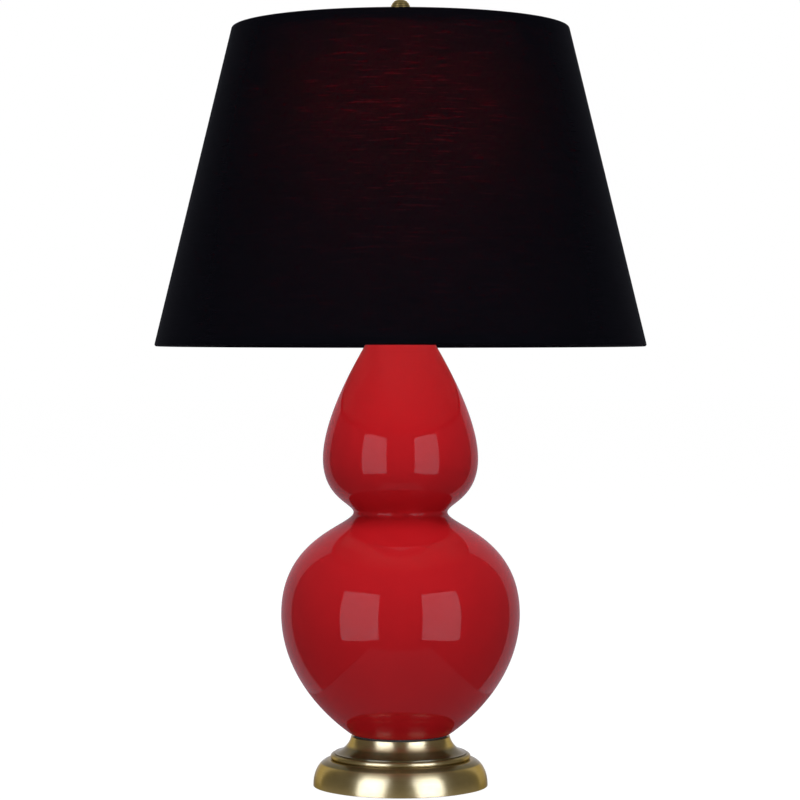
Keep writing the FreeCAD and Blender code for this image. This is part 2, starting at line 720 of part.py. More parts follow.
def socket_shell():
    bead = (
        Outline(shell_radius, shell_top - 2 * SHELL_BEAD)
        .arc((shell_radius + SHELL_BEAD_REACH, shell_top - SHELL_BEAD), (shell_radius, shell_top))
        .line(shell_radius - SOCKET_WALL, shell_top)
        .line(shell_radius - SOCKET_WALL, shell_top - 2 * SHELL_BEAD)
        .turned()
    )
    shell = ring(shell_radius, shell_radius - SOCKET_WALL, shell_z, shell_top)
    return shell.fuse(bead).removeSplitter().cut(switch_window(SHAFT_RADIUS + SHAFT_WINDOW, SOCKET_RADIUS))


def socket_liner():
    liner = ring(liner_radius, liner_radius - LINER_WALL, shell_z + LINER_LIFT, shell_top - LINER_DROP)
    return liner.cut(switch_window(SHAFT_RADIUS + SHAFT_WINDOW, SOCKET_RADIUS))


def socket_body():
    """The switch body, with a blind hole for the shaft and a flat for each terminal screw."""
    body = cylinder(body_radius, BODY_HEIGHT, V(0, 0, body_z))
    depth = SHAFT_DEPTH + RUNNING
    shaft = cylinder(SHAFT_RADIUS + RUNNING, depth, V(0, depth - body_radius, shaft_z), FRONT)
    return body.cut([shaft, terminal_flat(-1), terminal_flat(1)])


def terminal_flat(side):
    depth = TERMINAL_HEAD + TERMINAL_ROOM
    left = body_radius - depth if side > 0 else -body_radius
    low = V(left, -TERMINAL_FLAT_WIDTH / 2, body_z)
    return Part.makeBox(depth, TERMINAL_FLAT_WIDTH, TERMINAL_FLAT_HEIGHT, low)


def terminal_screws():
    """The two wire screws, one on each flat of the switch body."""
    screws = []
    for side in (-1, 1):
        along = RIGHT * side
        face = along * (body_radius - TERMINAL_HEAD - TERMINAL_ROOM)
        face = face + UP * (body_z + TERMINAL_FLAT_HEIGHT / 2)
        head = cylinder(TERMINAL_RADIUS, TERMINAL_HEAD, face, along)
        screws.append(head.cut(screw_slot(face + along * TERMINAL_HEAD, along, TERMINAL_RADIUS)))
    return Part.makeCompound(screws)


def screw_shell():
    inner = SCREW_SHELL_RADIUS - SCREW_SHELL_WALL
    return ring(SCREW_SHELL_RADIUS, inner, body_top, body_top + SCREW_SHELL_HEIGHT)


def centre_contact():
    return cylinder(CONTACT_RADIUS, CONTACT_THICKNESS, V(0, 0, body_top))


# Switch


def switch_shaft():
    start = body_radius - SHAFT_DEPTH
    end = SOCKET_RADIUS + KNOB_STANDOFF + KNOB_HUB_LENGTH - KNOB_BLIND
    return cylinder(SHAFT_RADIUS, end - start, V(0, -start, shaft_z), FRONT)


def switch_knob():
    """A round hub with a flat key in front of it, rounded at its two outer corners."""
    near = SOCKET_RADIUS + KNOB_STANDOFF
    far = near + KNOB_HUB_LENGTH
    hub = cylinder(KNOB_HUB_RADIUS, KNOB_HUB_LENGTH, V(0, -near, shaft_z), FRONT)
    low = V(-KEY_WIDTH / 2, -far - KEY_LENGTH, shaft_z - KEY_THICKNESS / 2)
    key = Part.makeBox(KEY_WIDTH, KEY_LENGTH, KEY_THICKNESS, low)
    upright = [e for e in key.Edges if abs(e.tangentAt(0).z) > 0.9]
    outer = [e for e in upright if e.CenterOfMass.y < -far - KEY_LENGTH / 2]
    knob = hub.fuse(key.makeFillet(min(KEY_CORNER, 0.45 * KEY_WIDTH), outer)).removeSplitter()
    bore = cylinder(SHAFT_RADIUS + SNUG, KNOB_HUB_LENGTH - KNOB_BLIND + SNUG, V(0, -near, shaft_z), FRONT)
    return knob.cut(bore)


# Bulb


def bulb_cap():
    """The screw cap, with rounded ridges in place of its thread."""
    low, root = bulb_z + CAP_TIP, CAP_RADIUS - THREAD_DEPTH
    start = low + THREAD_START
    ease = THREAD_EASE * THREAD_PITCH
    section = Outline(TIP_RADIUS, low).line(root, start)
    for k in range(THREADS):
        bottom = start + k * THREAD_PITCH
        section.curve((0, ease), (0, -ease), (CAP_RADIUS, bottom + THREAD_PITCH / 2))
        section.curve((0, ease), (0, -ease), (root, bottom + THREAD_PITCH))
    return (
        section.line(root, cap_rim)
        .line(root - CAP_SHEET, cap_rim)
        .line(root - CAP_SHEET, start + CAP_SHEET)
        .line(TIP_RADIUS, low + CAP_SHEET)
        .turned()
    )


def bulb_contact():
    """The black insulator and the solder tip below the cap, as one turned piece."""
    top = bulb_z + CAP_TIP
    return (
        Outline(0, bulb_z)
        .line(SOLDER_RADIUS, bulb_z)
        .line(SOLDER_RADIUS, bulb_z + SOLDER_HEIGHT)
        .line(TIP_RADIUS, top)
        .line(TIP_RADIUS - SNUG, top + CAP_SHEET)
        .line(0, top + CAP_SHEET)
        .turned()
    )


def bulb_glass():
    """A pear-shaped envelope, open at its neck inside the cap."""
    neck = CAP_RADIUS - THREAD_DEPTH - CAP_SHEET - SNUG
    centre = glass_top - GLASS_RADIUS
    inner = GLASS_RADIUS - GLASS_WALL
    neck_top = cap_rim + GLASS_NECK_RISE
    ease = (centre - cap_rim) * GLASS_EASE
    return (
        Outline(neck, glass_z)
        .line(neck, cap_rim)
        .line(GLASS_NECK, neck_top)
        .curve((0, ease), (0, -ease), (GLASS_RADIUS, centre))
        .quarter((0, glass_top), upright_first=True)
        .line(0, glass_top - GLASS_WALL)
        .quarter((inner, centre), upright_first=False)
        .curve((0, -ease), (0, ease), (GLASS_NECK - GLASS_WALL, neck_top))
        .line(neck - GLASS_WALL, cap_rim)
        .line(neck - GLASS_WALL, glass_z)
        .turned()
    )


# Shade


def shade_radius(height):
    """The shade's outer radius at a height, over its trims."""
    share = (height - shade_z) / SHADE_HEIGHT
    return SHADE_BOTTOM_RADIUS + (SHADE_TOP_RADIUS - SHADE_BOTTOM_RADIUS) * share


wall_lean = math.atan((SHADE_BOTTOM_RADIUS - SHADE_TOP_RADIUS) / SHADE_HEIGHT)
roll = FABRIC_THICKNESS + LAYER_GAP + RING_WIRE  # outer radius of the fabric rolled over a ring
liner_out = FABRIC_THICKNESS + LAYER_GAP
liner_in = liner_out + LINER_THICKNESS
ring_low_z = shade_z + roll
ring_high_z = shade_top - roll


class Rim:
    """One edge of the shade, seen along its ring: places by depth under the surface and run along it."""

    def __init__(self, ring_height, inwards):
        """inwards is 1 where the wall runs up from the edge, -1 where it runs down."""
        touch = ring_height + roll * math.sin(wall_lean)
        self.centre = V(shade_radius(touch) - roll * math.cos(wall_lean), 0, ring_height)
        self.out = V(math.cos(wall_lean), 0, math.sin(wall_lean))
        self.run = V(-math.sin(wall_lean), 0, math.cos(wall_lean)) * inwards

    def at(self, depth, run):
        place = self.centre + self.out * (roll - depth) + self.run * run
        return place.x, place.z


lower_rim, upper_rim = Rim(ring_low_z, 1), Rim(ring_high_z, -1)


def rolled(rim, other):
    """The fabric over one edge: from its outside round the ring and in over the liner.

    Its outline starts and ends where it meets the fabric's straight part, halfway to the other edge.
    """
    pocket = RING_WIRE + LAYER_GAP
    hem_out = liner_in + LAYER_GAP
    hem_in = hem_out + FABRIC_THICKNESS
    slope = 2 * roll  # how far along the wall the hem closes in on the liner
    middle = (rim.centre - other.centre).Length / 2
    return (
        Outline(*rim.at(0, middle))
        .line(*rim.at(0, 0))
        .arc(rim.at(roll, -roll), rim.at(2 * roll, 0))
        .line(*rim.at(2 * roll, RING_WIRE))
        .line(*rim.at(hem_in, slope))
        .line(*rim.at(hem_in, HEM_LENGTH))
        .line(*rim.at(hem_out, HEM_LENGTH))
        .line(*rim.at(hem_out, slope))
        .line(*rim.at(roll + pocket, RING_WIRE))
        .line(*rim.at(roll + pocket, 0))
        .arc(rim.at(roll, -pocket), rim.at(roll - pocket, 0))
        .line(*rim.at(FABRIC_THICKNESS, RING_WIRE))
        .line(*rim.at(FABRIC_THICKNESS, middle))
        .turned()
    )


def shade_fabric():
    """The fabric skin with both its edges rolled over their rings, notched where the arms pass."""
    skin = rolled(upper_rim, lower_rim).fuse(rolled(lower_rim, upper_rim)).removeSplitter()
    return skin.cut([turned_arm(k, SPIDER_WIRE + RUNNING, RUNNING) for k in range(SPIDER_ARMS)])


def shade_liner():
    """The stiff backing between the two rings."""
    start = RING_WIRE + LAYER_GAP
    return (
        Outline(*lower_rim.at(liner_out, start))
        .line(*upper_rim.at(liner_out, start))
        .line(*upper_rim.at(liner_in, start))
        .line(*lower_rim.at(liner_in, start))
        .turned()
    )


def wire_ring(rim):
    return Part.makeTorus(rim.centre.x, RING_WIRE, V(0, 0, rim.centre.z))


def turned_arm(number, radius, past_end):
    """One arm of the spider, from its hub to the upper ring."""
    low = hub_top - SPIDER_SEAT + SPIDER_WIRE
    end = upper_rim.centre - V(RING_WIRE + SNUG - past_end, 0, 0)
    start = V(SPIDER_HUB_RADIUS - SPIDER_LAP, 0, low)
    arm = tube(rounded_path([start, V(SPIDER_BEND, 0, low), end], [SPIDER_BEND_RADIUS]), radius)
    arm.rotate(ORIGIN, UP, SPIDER_BACK + 360 * number / SPIDER_ARMS)
    return arm


def spider_hub():
    """The washer that sits on the harp's seat, grooved for the arms brazed to it."""
    hub = ring(SPIDER_HUB_RADIUS, STUD_RADIUS + 2 * RUNNING, hub_top - SPIDER_HUB_THICKNESS, hub_top)
    return hub.cut([turned_arm(k, SPIDER_WIRE, 0) for k in range(SPIDER_ARMS)])


def spider_arms():
    """The arms from the hub up to the top ring."""
    return Part.makeCompound([turned_arm(k, SPIDER_WIRE, 0) for k in range(SPIDER_ARMS)])


# Finial


def finial():
    """A turned finial: a beaded foot, a neck with a knop, and a ball with rings turned on it."""
    low, high = finial_z, finial_z + FINIAL_HEIGHT
    centre = high - FINIAL_BALL
    foot_top = low + FINIAL_FOOT_BEAD
    knop_z = (foot_top + centre) / 2
    swell = (FINIAL_BALL + FINIAL_RING_SWELL) / FINIAL_BALL
    section = Outline(0, low).line(FINIAL_FOOT, low)
    section.arc((FINIAL_FOOT + FINIAL_FOOT_BEAD / 2, (low + foot_top) / 2), (FINIAL_FOOT, foot_top))
    neck_low, neck_high = (FINIAL_NECK, knop_z - FINIAL_RING), (FINIAL_NECK, knop_z + FINIAL_RING)
    section.curve((FINIAL_NECK - FINIAL_FOOT, 0), (0, foot_top - knop_z), neck_low)
    section.arc((FINIAL_KNOP, knop_z), neck_high)
    # The ball swells out of the neck to where its lowest ring starts
    start = FINIAL_RINGS_START
    section.curve((0, FINIAL_RING), (0, -FINIAL_BALL * QUARTER), (ball_radius(start), centre + start))
    for _ in range(FINIAL_RINGS):
        middle, end = start + FINIAL_RING / 2, start + FINIAL_RING
        section.arc((ball_radius(middle) * swell, centre + middle * swell), (ball_radius(end), centre + end))
        start = end
    section.curve((-FINIAL_RING / 2, FINIAL_RING / 2), (FINIAL_RING / 2, 0), (0, high))
    bore = cylinder(STUD_RADIUS + FINIAL_BORE_CLEARANCE, FINIAL_BORE_DEPTH, V(0, 0, low))
    return section.turned().cut(bore)


def ball_radius(height):
    """The finial's ball, level with a height above its centre."""
    return math.sqrt(FINIAL_BALL**2 - height**2)


PARTS = {
    "felt_pad": felt_pad,
    "base_board": base_board,
    "base_weight": base_weight,
    "base_shell": base_shell,
    "cord_bushing": cord_bushing,
    "bottom_nut": bottom_nut,
    "lock_washer": lock_washer,
    "threaded_pipe": threaded_pipe,
    "foot_gasket": foot_gasket,
    "gourd_body": gourd_body,
    "neck_gasket": neck_gasket,
    "vase_cap": vase_cap,
    "neck_tube": neck_tube,
    "top_nut": top_nut,
    "harp_saddle": harp_saddle,
    "harp_bow": harp_bow,
    "harp_seat": harp_seat,
    "sleeve_left": lambda: sleeve(-1),
    "sleeve_right": lambda: sleeve(1),
    "socket_cap": socket_cap,
    "set_screw": set_screw,
    "socket_shell": socket_shell,
    "socket_liner": socket_liner,
    "socket_body": socket_body,
    "terminal_screws": terminal_screws,
    "screw_shell": screw_shell,
    "centre_contact": centre_contact,
    "switch_shaft": switch_shaft,
    "switch_knob": switch_knob,
    "bulb_cap": bulb_cap,
    "bulb_contact": bulb_contact,
    "bulb_glass": bulb_glass,
    "shade_fabric": shade_fabric,
    "shade_liner": shade_liner,
    "shade_bottom_ring": lambda: wire_ring(lower_rim),
    "shade_top_ring": lambda: wire_ring(upper_rim),
    "spider_hub": spider_hub,
    "spider_arms": spider_arms,
    "finial": finial,
}


def main():
    os.makedirs("parts", exist_ok=True)
    for name, make in PARTS.items():
        shape = make()
        if not shape.isValid() or shape.Volume <= 0:
            raise ValueError(f"{name} isn't a valid solid")
        shape.exportStep(f"parts/{name}.step")
        print(f"{name}: {len(shape.Solids)} solid, {shape.Volume / 1000:.2f} cm3")


main()
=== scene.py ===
"""The looks of a double gourd table lamp, in metres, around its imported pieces.

The gourd, the shade's fabric and liner and the bulb's glass are modelled here. Every other piece keeps
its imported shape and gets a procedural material. Where a piece stands comes from its packed box.
"""

import json
import math

import bpy
import numpy as np
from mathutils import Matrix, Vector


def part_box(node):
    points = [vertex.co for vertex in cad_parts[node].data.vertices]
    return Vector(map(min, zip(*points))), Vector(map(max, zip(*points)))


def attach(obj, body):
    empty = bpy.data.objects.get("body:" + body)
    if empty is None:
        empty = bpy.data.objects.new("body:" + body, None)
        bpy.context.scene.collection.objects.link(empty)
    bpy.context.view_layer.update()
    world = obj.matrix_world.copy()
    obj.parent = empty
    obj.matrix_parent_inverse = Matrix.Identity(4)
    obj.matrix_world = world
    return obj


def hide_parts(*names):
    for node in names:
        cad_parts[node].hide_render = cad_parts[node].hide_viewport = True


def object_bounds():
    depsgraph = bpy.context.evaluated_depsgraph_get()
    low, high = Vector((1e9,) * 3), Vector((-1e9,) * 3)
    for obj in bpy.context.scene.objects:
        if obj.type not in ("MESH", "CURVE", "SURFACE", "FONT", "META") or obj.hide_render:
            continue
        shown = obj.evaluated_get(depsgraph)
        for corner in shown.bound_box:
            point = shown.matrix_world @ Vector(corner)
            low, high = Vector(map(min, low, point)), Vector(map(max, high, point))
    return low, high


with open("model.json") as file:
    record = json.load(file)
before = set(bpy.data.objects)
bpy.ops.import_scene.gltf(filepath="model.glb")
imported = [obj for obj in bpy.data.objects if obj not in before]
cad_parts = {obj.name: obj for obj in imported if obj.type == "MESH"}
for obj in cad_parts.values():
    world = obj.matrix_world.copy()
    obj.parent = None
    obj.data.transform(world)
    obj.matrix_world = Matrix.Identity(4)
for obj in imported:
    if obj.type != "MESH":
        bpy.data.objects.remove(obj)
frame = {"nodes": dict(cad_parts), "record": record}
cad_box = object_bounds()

MM = 0.001
QUARTER = 0.5523  # handle of a cubic curve that draws a quarter ellipse, as a share of its half axis
CURVE_STEPS = 20
EDGE_STEPS = 6  # of a small rounded edge
TURN_STEPS = 256
CREASE = 40.0  # degrees, above which an edge is shown sharp
NOISE_LOW, NOISE_HIGH = 0.3, 0.7  # most values of a noise lie between these
ON_AXIS = 1e-9  # radius below which a point of a section lies on the axis

# Gourd: radii, heights above its foot, and each bend's own radius of curvature
GOURD_WALL = 6.0 * MM
FOOT_RADIUS = 48.5 * MM
FOOT_LEAN = 54.4  # degrees from upright
FOOT_ROUND = 2.0 * MM
FOOT_HOLE = 14.0 * MM
FOOT_HANDLE = 42.0 * MM
BELLY_RADIUS, BELLY_HEIGHT, BELLY_BEND = 118.25 * MM, 119.7 * MM, 122.0 * MM
WAIST_RADIUS, WAIST_HEIGHT, WAIST_BEND = 46.6 * MM, 220.0 * MM, 3.5 * MM
BULB_RADIUS, BULB_HEIGHT, BULB_BEND = 76.9 * MM, 273.0 * MM, 76.0 * MM
NECK_RADIUS, NECK_HEIGHT = 34.9 * MM, 385.5 * MM
NECK_LEAN = 29.5  # degrees from upright
NECK_BELOW, NECK_ABOVE = 16.8 * MM, 9.0 * MM
LIP_RADIUS, LIP_BELOW, LIP_ROUND = 23.5 * MM, 8.0 * MM, 1.5 * MM

# Shade
SHADE_TOP_RADIUS = 166.6 * MM
SHADE_BOTTOM_RADIUS = 243.2 * MM
SHADE_STEPS = 512
FABRIC = 0.6 * MM
LINER = 1.0 * MM
LAYER_GAP = 0.1 * MM
RING_WIRE = 1.3 * MM  # radius
RING_STEPS = 8  # halfway round the wire
HEM_LENGTH = 8.0 * MM
HEM_OUT = FABRIC + 2 * LAYER_GAP + LINER  # depth of the hem under the fabric's outside
SEAM_WIDTH = 11.0 * MM  # of the overlap down the back of the fabric
SEAM_STEP = 0.35 * MM
CLOTH_PITCH = 5 * MM  # between the rows of points up the fabric

# Light bulb
GLASS_RADIUS = 34.0 * MM
GLASS_NECK = 12.0 * MM  # radius inside the cap
GLASS_SHOULDER = 14.2 * MM  # radius just above the cap
GLASS_RISE = 3.0 * MM
GLASS_EASE = 0.45  # handle of the side's curve, as a share of its height
GLASS_STEPS = 96

# Painted shade and tarnish in the brass: (height of its middle, reach) in the base, and the painted dark
# lines of the grooves turned in the finial
COVE_RECESS = (36.0 * MM, 6.0 * MM)
BEAD_RECESS = (25.2 * MM, 2.6 * MM)
FINIAL_GROOVES = (1.2 * MM, 3.2 * MM, 5.2 * MM, 7.2 * MM)  # depths below the top of the ball
GROOVE_REACH = 0.55 * MM
RECESS_METAL_LOSS = 0.4  # how much less metallic the brass is where its painted shade and tarnish are thickest

# Zinc plate's fine rings. A wave texture turns by WAVE_FACTOR radians in each unit of scaled length
THREAD_PITCH = 0.5906 * MM
WAVE_FACTOR = 20.0

# What the fabric lets through: each pair of slub values with the shares that they give
THIN_SLUBS, THIN_SHARES = (0.57, 0.67), (0.0, 0.16)
THICK_SLUBS, THICK_SHARES = (0.30, 0.42), (-0.08, 0.0)
PATCH_SHARES = (0.20, 0.245)
# It falls with the distance below and above the bulb: heights in metres, and the shares left there
BELOW_BULB, BELOW_SHARES = (0.45, 0.66), (0.45, 1.0)
ABOVE_BULB, ABOVE_SHARES = (0.68, 0.75), (1.0, 0.72)
ASLANT_POWER = 2.0
LINER_THROUGH = 0.45  # share of light that the liner lets on forwards

# Glow of the bulb, at its foot and from its middle up: what it lights with, and what the camera sees
BULB_LIT = (2.0, 24.0)
BULB_SHOWN = (0.02, 0.3)

# Camera
CAMERA_PLACE = (-0.5 * MM, -2722.8 * MM, 418.2 * MM)
CAMERA_DROP = 0.752  # degrees below level
CAMERA_LENS, CAMERA_SENSOR = 123.75, 36.0  # millimetres

# Studio
FLOOR_SIZE = 60.0
FLOOR_LIT = 0.42  # how much light it gives back to the lamp
FLOOR_SHADOW, FLOOR_GLOW = 0.1, 0.99  # to the eye: the part that takes the lamp's shadow, and the even part
AMBIENT = 0.08
COOL = (0.96, 0.98, 1.12, 1.0)  # tint of what gloss sees

# What gloss sees of the studio: how bright it is ahead of the lamp, beside it, behind it and on its table
GLOSS_AHEAD, GLOSS_ASIDE, GLOSS_BEHIND, GLOSS_TABLE = 0.20, 0.20, 0.95, 0.50
SIDE_ANGLES = (60.0, 110.0)  # degrees from straight behind, between which beside turns into ahead
BACKDROP_ANGLE, BACKDROP_FADE = 50.0, 1.0  # degrees from straight behind to its edge, and the edge's width
TABLE_HALF, TABLE_DEPTH = 0.18, 0.365  # from the lamp's axis to the table's edges, sideways and lengthways

# Lights: a place is an elevation in degrees, a distance and a (width, height). The rest are radiances
SIDE_AZIMUTH = 39.5  # degrees
SOFTBOX_PLACE, SOFTBOX_GLOSS, SOFTBOX_FILL = (-1.1, 2.4, (1.65, 2.05)), 3.4, 1.85
BASE_PLACE, BASE_GLOSS, BASE_TINT = (10, 2.4, (1.65, 2.8)), 4.6, (0.88, 1.12, 2.3, 1.0)
BACK_AZIMUTH, BACK_PLACE, BACK_FILL = 180, (10, 2.4, (2.4, 1.8)), 1.2
KEY_AZIMUTH, KEY_PLACE, KEY_FILL = 0, (62, 3.0, (2.6, 1.8)), 4.9


# Meshes


def lean(angle, length):
    """The (radius, height) offset of a handle that leans outwards by angle from upright."""
    return length * math.sin(math.radians(angle)), length * math.cos(math.radians(angle))


def cubic(start, out, back, end, steps=CURVE_STEPS):
    """The points after start on a cubic curve. out and back are its handles, as offsets from its ends."""
    first, last = np.array(start, float), np.array(end, float)
    poles = (first, first + np.array(out), last + np.array(back), last)
    points = []
    for k in range(1, steps + 1):
        t = k / steps
        shares = ((1 - t) ** 3, 3 * t * (1 - t) ** 2, 3 * t * t * (1 - t), t**3)
        points.append(tuple(sum(share * pole for share, pole in zip(shares, poles))))
    return points


def quarter(start, end, steps=CURVE_STEPS):
    """The points after start on a quarter ellipse that starts upright and ends level."""
    run, rise = end[0] - start[0], end[1] - start[1]
    return cubic(start, (0, QUARTER * rise), (-QUARTER * run, 0), end, steps)


def even_run(start, end, length):
    """The points after start on a straight run, at most length apart."""
    first, last = np.array(start, float), np.array(end, float)
    count = max(1, math.ceil(np.linalg.norm(last - first) / length))
    return [tuple(first + (last - first) * k / count) for k in range(1, count + 1)]


def new_object(name, vertices, faces, material):
    """A mesh object, smooth but for its creases."""
    mesh = bpy.data.meshes.new(name)
    mesh.from_pydata([tuple(v) for v in vertices], [], faces)
    mesh.validate()
    mesh.shade_smooth()
    mesh.set_sharp_from_angle(angle=math.radians(CREASE))
    mesh.materials.append(material)
    made = bpy.data.objects.new(name, mesh)
    bpy.context.scene.collection.objects.link(made)
    return made


def turned(name, section, material, steps=TURN_STEPS, shift=None):
    """A closed section of (radius, height) points turned about the Z axis.

    Points on the axis become single vertices. shift(angle, number) gives an extra radius.
    """
    vertices, rows = [], []
    for number, (radius, height) in enumerate(section):
        if radius < ON_AXIS:
            rows.append([len(vertices)] * steps)
            vertices.append((0.0, 0.0, height))
            continue
        rows.append(list(range(len(vertices), len(vertices) + steps)))
        for k in range(steps):
            angle = 2 * math.pi * k / steps
            reach = radius + (shift(angle, number) if shift else 0)
            vertices.append((reach * math.cos(angle), reach * math.sin(angle), height))
    faces = []
    for low, high in zip(rows, rows[1:] + rows[:1]):
        if low[0] == low[1] and high[0] == high[1]:
            continue
        for k in range(steps):
            n = (k + 1) % steps
            corners = [low[k], low[n], high[n], high[k]]
            faces.append([c for i, c in enumerate(corners) if c not in corners[:i]])
    return new_object(name, vertices, faces, material)


# Materials


def rgb(red, green, blue):
    return red, green, blue, 1.0


def grey(level):
    return rgb(level, level, level)


class Shader:
    """The node tree of a material, or of a world, with short calls."""

    def __init__(self, name, kind="materials", output="ShaderNodeOutputMaterial"):
        self.owner = getattr(bpy.data, kind).new(name)
        self.owner.use_nodes = True
        self.tree = self.owner.node_tree
        self.tree.nodes.clear()
        self.output = self.add(output)
        self.places = self.add("ShaderNodeTexCoord").outputs["Object"]

    def add(self, kind, inputs=None, **settings):
        """A node with its settings, whose inputs are values or other nodes' outputs."""
        made = self.tree.nodes.new(kind)
        for key, value in settings.items():
            setattr(made, key, value)
        for key, value in (inputs or {}).items():
            if isinstance(value, bpy.types.NodeSocket):
                self.tree.links.new(value, made.inputs[key])
            else:
                made.inputs[key].default_value = value
        return made

    def maths(self, operation, first, second=0.0):
        return self.add("ShaderNodeMath", {0: first, 1: second}, operation=operation).outputs[0]

    def stretched(self, across, up):
        """Object coordinates scaled so that one unit is across metres sideways and up metres upwards."""
        scale = (1 / across, 1 / across, 1 / up)
        return self.add("ShaderNodeMapping", {"Vector": self.places, "Scale": scale}).outputs["Vector"]

    def height(self):
        """The height above the table, in metres."""
        return self.add("ShaderNodeSeparateXYZ", {0: self.places}).outputs["Z"]

    def noise(self, vector, detail=2.0, roughness=0.5):
        inputs = {"Vector": vector, "Scale": 1.0, "Detail": detail, "Roughness": roughness}
        return self.add("ShaderNodeTexNoise", inputs).outputs["Fac"]

    def ramp(self, value, start, end, low, high):
        """A value that runs evenly from low at start to high at end, and stays there past them."""
        inputs = {"Value": value, "From Min": start, "From Max": end, "To Min": low, "To Max": high}
        return self.add("ShaderNodeMapRange", inputs).outputs["Result"]

    def spread(self, value, low, high):
        """A noise value, whose middle part is spread over low to high."""
        return self.ramp(value, NOISE_LOW, NOISE_HIGH, low, high)

    def mixed(self, share, first, second):
        """A colour between two others."""
        return self.add("ShaderNodeMix", {0: share, 6: first, 7: second}, data_type="RGBA").outputs[2]

    def blend(self, share, first, second):
        """A surface between two others."""
        inputs = {0: share, 1: first.outputs[0], 2: second.outputs[0]}
        return self.add("ShaderNodeMixShader", inputs)

    def bump(self, height, distance, strength):
        inputs = {"Height": height, "Distance": distance, "Strength": strength}
        return self.add("ShaderNodeBump", inputs).outputs["Normal"]

    def principled(self, **inputs):
        named = {key.replace("_", " "): value for key, value in inputs.items()}
        return self.add("ShaderNodeBsdfPrincipled", named)

    def done(self, node):
        self.tree.links.new(node.outputs[0], self.output.inputs["Surface"])
        return self.owner


def turned_metal(name, light, dark, rough, anisotropy=0.5, recesses=(), **more):
    """Metal brushed round its axis, with cloudy painted shade and tarnish that lie thick in its recesses.

    recesses are (height, reach) pairs.
    """
    s = Shader(name)
    # Brush lines: long round the axis, short along the section
    lines = s.noise(s.stretched(60 * MM, 0.25 * MM), detail=3.0)
    clouds = s.noise(s.stretched(22 * MM, 14 * MM), detail=4.0, roughness=0.6)
    share = s.maths("ADD", s.spread(lines, 0.0, 0.45), s.spread(clouds, 0.0, 0.55))
    inputs = {
        "Base_Color": s.mixed(share, light, dark),
        "Metallic": 1.0,
        "Roughness": s.spread(s.maths("ADD", lines, s.maths("MULTIPLY", clouds, 0.4)), *rough),
        "Anisotropic": anisotropy,
        "Anisotropic_Rotation": 0.25,
        "Tangent": s.add("ShaderNodeTangent", direction_type="RADIAL", axis="Z").outputs["Tangent"],
        "Normal": s.bump(lines, 0.02 * MM, 0.6),
    }
    if recesses:
        # painted shade: at the recesses' heights the brass turns dark brown and less metallic. This stands
        # in for the shade and dark reflections there, and partly for the tarnish of antique brass.
        height, shade_and_tarnish, shaded_brown = s.height(), 0.0, rgb(0.085, 0.074, 0.027)
        for middle, reach in recesses:
            far = s.maths("ABSOLUTE", s.maths("SUBTRACT", height, middle))
            shade_and_tarnish = s.maths("MAXIMUM", shade_and_tarnish, s.ramp(far, reach, 0.5 * reach, 0.0, 1.0))
        shade_and_tarnish = s.maths("MULTIPLY", shade_and_tarnish, s.spread(clouds, 1.0, 0.8))
        inputs["Base_Color"] = s.mixed(shade_and_tarnish, inputs["Base_Color"], shaded_brown)
        inputs["Metallic"] = s.maths("SUBTRACT", 1.0, s.maths("MULTIPLY", shade_and_tarnish, RECESS_METAL_LOSS))
    return s.done(s.principled(**inputs, **more))


def antique_brass(name="antique_brass", recesses=()):
    """Browned brass under a clear lacquer."""
    return turned_metal(
        name,
        light=rgb(0.50, 0.36, 0.125),
        dark=rgb(0.38, 0.265, 0.085),
        rough=(0.26, 0.32),
        anisotropy=0.85,
        recesses=recesses,
        Coat_Weight=0.2,
        Coat_IOR=1.5,
        Coat_Roughness=0.14,
        Specular_Tint=rgb(0.55, 0.45, 0.26),
        Specular_IOR_Level=0.1,
    )


def contact_brass():
    return turned_metal("contact_brass", rgb(0.80, 0.60, 0.27), rgb(0.62, 0.42, 0.16), (0.18, 0.30))


def bulb_aluminium():
    return turned_metal("bulb_aluminium", grey(0.86), rgb(0.66, 0.66, 0.68), (0.25, 0.4))


def zinc_steel():
    """Bright zinc plate with fine rings round it, like a small thread's."""
    s = Shader("zinc_steel")
    clouds = s.noise(s.stretched(4 * MM, 4 * MM), detail=3.0)
    inputs = {
        "Vector": s.stretched(1.0, 1.0),
        "Scale": 2 * math.pi / WAVE_FACTOR / THREAD_PITCH,
        "Distortion": 0.0,
    }
    thread = s.add("ShaderNodeTexWave", inputs, wave_type="BANDS", bands_direction="Z").outputs["Fac"]
    return s.done(
        s.principled(
            Base_Color=s.mixed(s.spread(clouds, 0.0, 1.0), rgb(0.62, 0.62, 0.60), rgb(0.45, 0.46, 0.47)),
            Metallic=1.0,
            Roughness=s.spread(clouds, 0.25, 0.4),
            Normal=s.bump(thread, 0.15 * MM, 0.5),
        )
    )


def red_glaze():
    """Deep red glaze, pooled a little thicker and darker in places, under a clear gloss."""
    s = Shader("red_glaze")
    clouds = s.noise(s.stretched(70 * MM, 90 * MM), detail=3.0)
    specks = s.noise(s.stretched(1.6 * MM, 1.6 * MM), detail=2.0)
    share = s.maths("ADD", s.spread(clouds, 0.0, 0.7), s.spread(specks, 0.0, 0.3))
    ripple = s.noise(s.stretched(30 * MM, 30 * MM), detail=1.0)
    return s.done(
        s.principled(
            Base_Color=s.mixed(share, rgb(0.42, 0.0084, 0.0122), rgb(0.38, 0.0072, 0.0108)),
            Roughness=0.4,
            Specular_IOR_Level=0.0,
            Coat_Weight=0.28,
            Coat_Roughness=0.03,
            Coat_IOR=1.5,
            Normal=s.bump(ripple, 0.02 * MM, 0.4),
        )
    )


